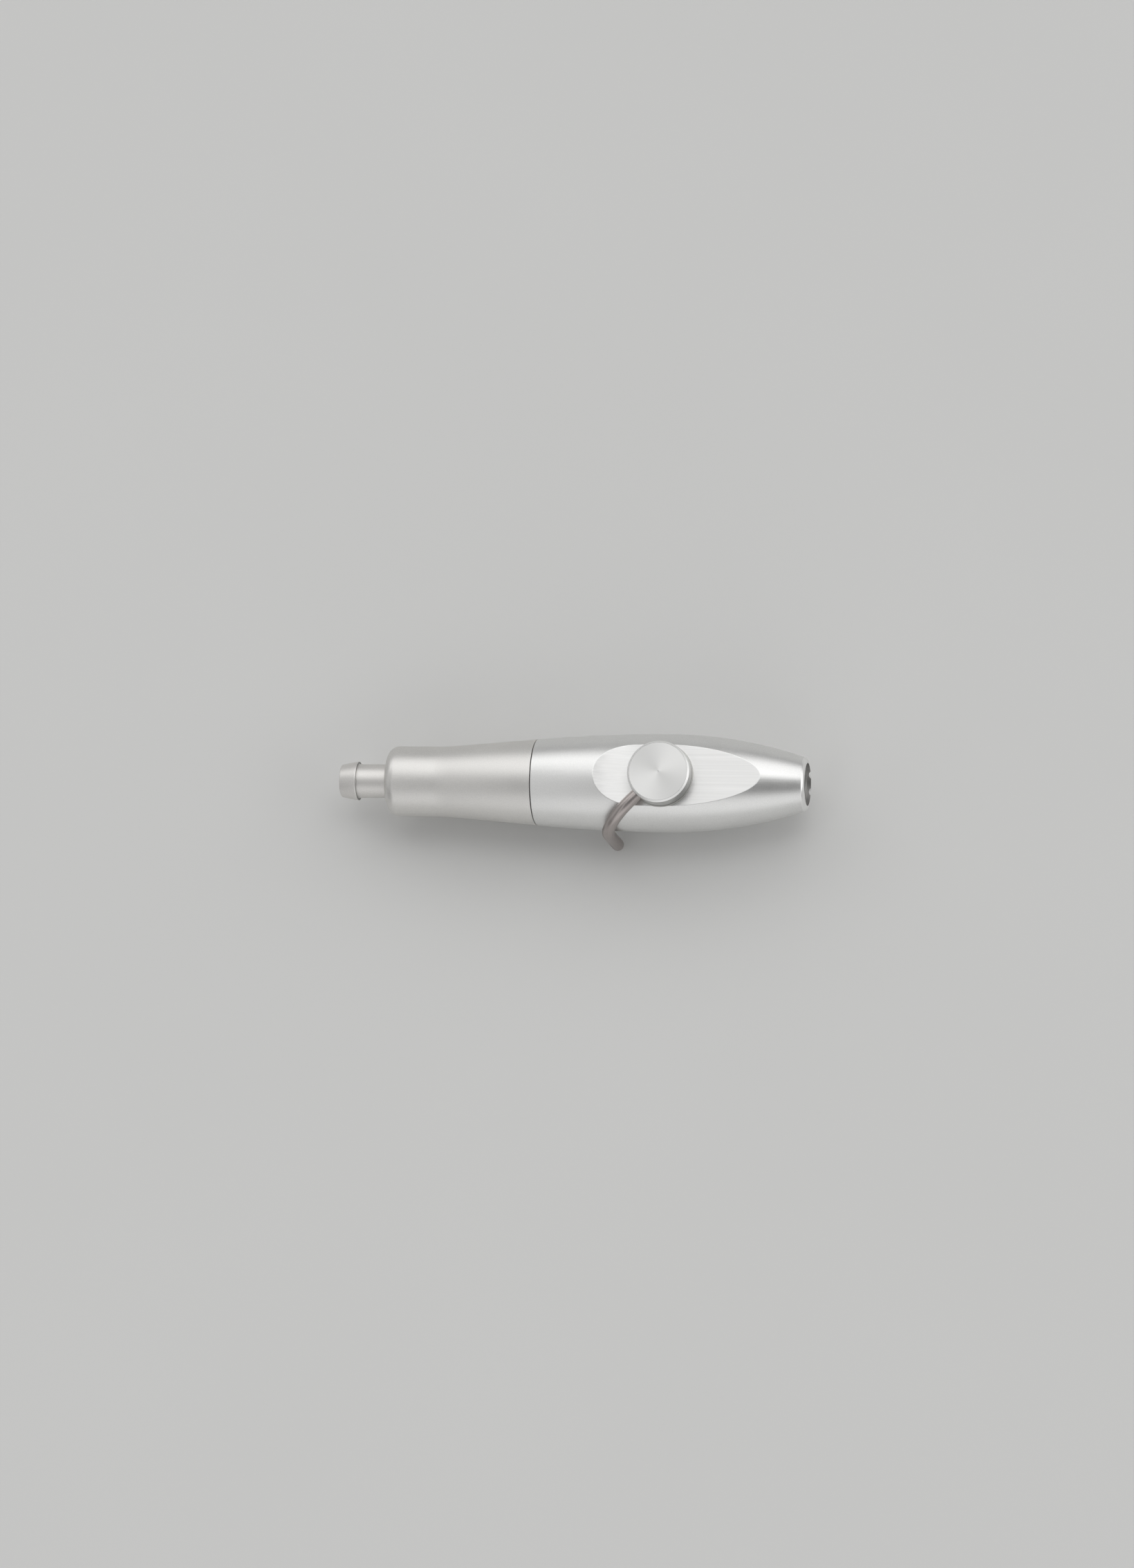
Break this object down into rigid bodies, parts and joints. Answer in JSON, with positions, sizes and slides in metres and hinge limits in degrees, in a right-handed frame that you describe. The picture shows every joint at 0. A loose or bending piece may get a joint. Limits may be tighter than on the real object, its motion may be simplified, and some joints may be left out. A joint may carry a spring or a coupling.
{
  "type": "saliva ejector valve handpiece",
  "caption": "Low-volume dental suction handpiece: barrel body with a tip socket, lever-turned rotary valve, screwed tail housing with a solids screen and a swivelling hose barb.",
  "frame": {"origin": "centre of the tip socket's mouth, where the straight grip bore begins, 1.0 mm inside the nose's front face", "axes": "+X out of the nose along the body axis; +Z along the valve's turning axis, up through the knob; the lever hangs on the -Y side"},
  "size_m": [0.092, 0.0214, 0.0206],
  "materials": {
    "body_metal": "bright satin anodised, fine bead-blast grain, milled flats with lengthwise lines",
    "knob_metal": "face-turned, concentric lines, bright chamfer",
    "tail_metal": "warm grey satin anodised",
    "lever_steel": "drawn stainless rod",
    "rotor_steel": "ground stainless",
    "spring_steel": "spring steel",
    "washer_metal": "thin stainless washer",
    "seal_rubber": "black moulded rubber",
    "slip_plastic": "white slip-ring plastic"
  },
  "bodies": {
    "body": {"valve_body": "body_metal", "tip_ring_front": "seal_rubber", "tip_ring_rear": "seal_rubber", "inlet_port_seal": "slip_plastic", "outlet_port_seal": "slip_plastic", "joint_o_ring": "seal_rubber", "rotor_thrust_washer": "slip_plastic", "rotor_spring": "spring_steel", "knob_washer": "washer_metal", "stop_pin": "spring_steel", "back_cap": "knob_metal"},
    "rotor": {"valve_rotor": "rotor_steel", "rotor_o_ring_front": "seal_rubber", "rotor_o_ring_rear": "seal_rubber", "control_knob": "knob_metal", "lever": "lever_steel"},
    "screen": {"solids_screen": "rotor_steel", "screen_gasket": "seal_rubber"},
    "tail": {"tail_housing": "tail_metal", "barb_thrust_washer": "slip_plastic", "barb_retaining_clip": "spring_steel"},
    "barb": {"hose_barb": "tail_metal", "barb_o_ring": "seal_rubber"}
  },
  "joints": [
    {"name": "rotor_turn", "type": "hinge", "parent": "body", "child": "rotor", "pos_m": [-0.02645, 0, 0], "axis": [0, 0, 1], "range_deg": [0, 90]},
    {"name": "tail_slide", "type": "slide", "parent": "body", "child": "screen", "axis": [-1, 0, 0], "range_m": [0, 0.005]},
    {"name": "tail_unscrew", "type": "hinge", "parent": "screen", "child": "tail", "pos_m": [-0.07, 0, 0], "axis": [-1, 0, 0], "range_deg": [0, 1800]},
    {"name": "barb_swivel", "type": "hinge", "parent": "tail", "child": "barb", "pos_m": [-0.08, 0, 0], "axis": [-1, 0, 0], "continuous": true}
  ],
  "couplings": [
    {"joint": "tail_slide", "follows": "tail_unscrew", "m_per_rad": 0.00015915}
  ]
}
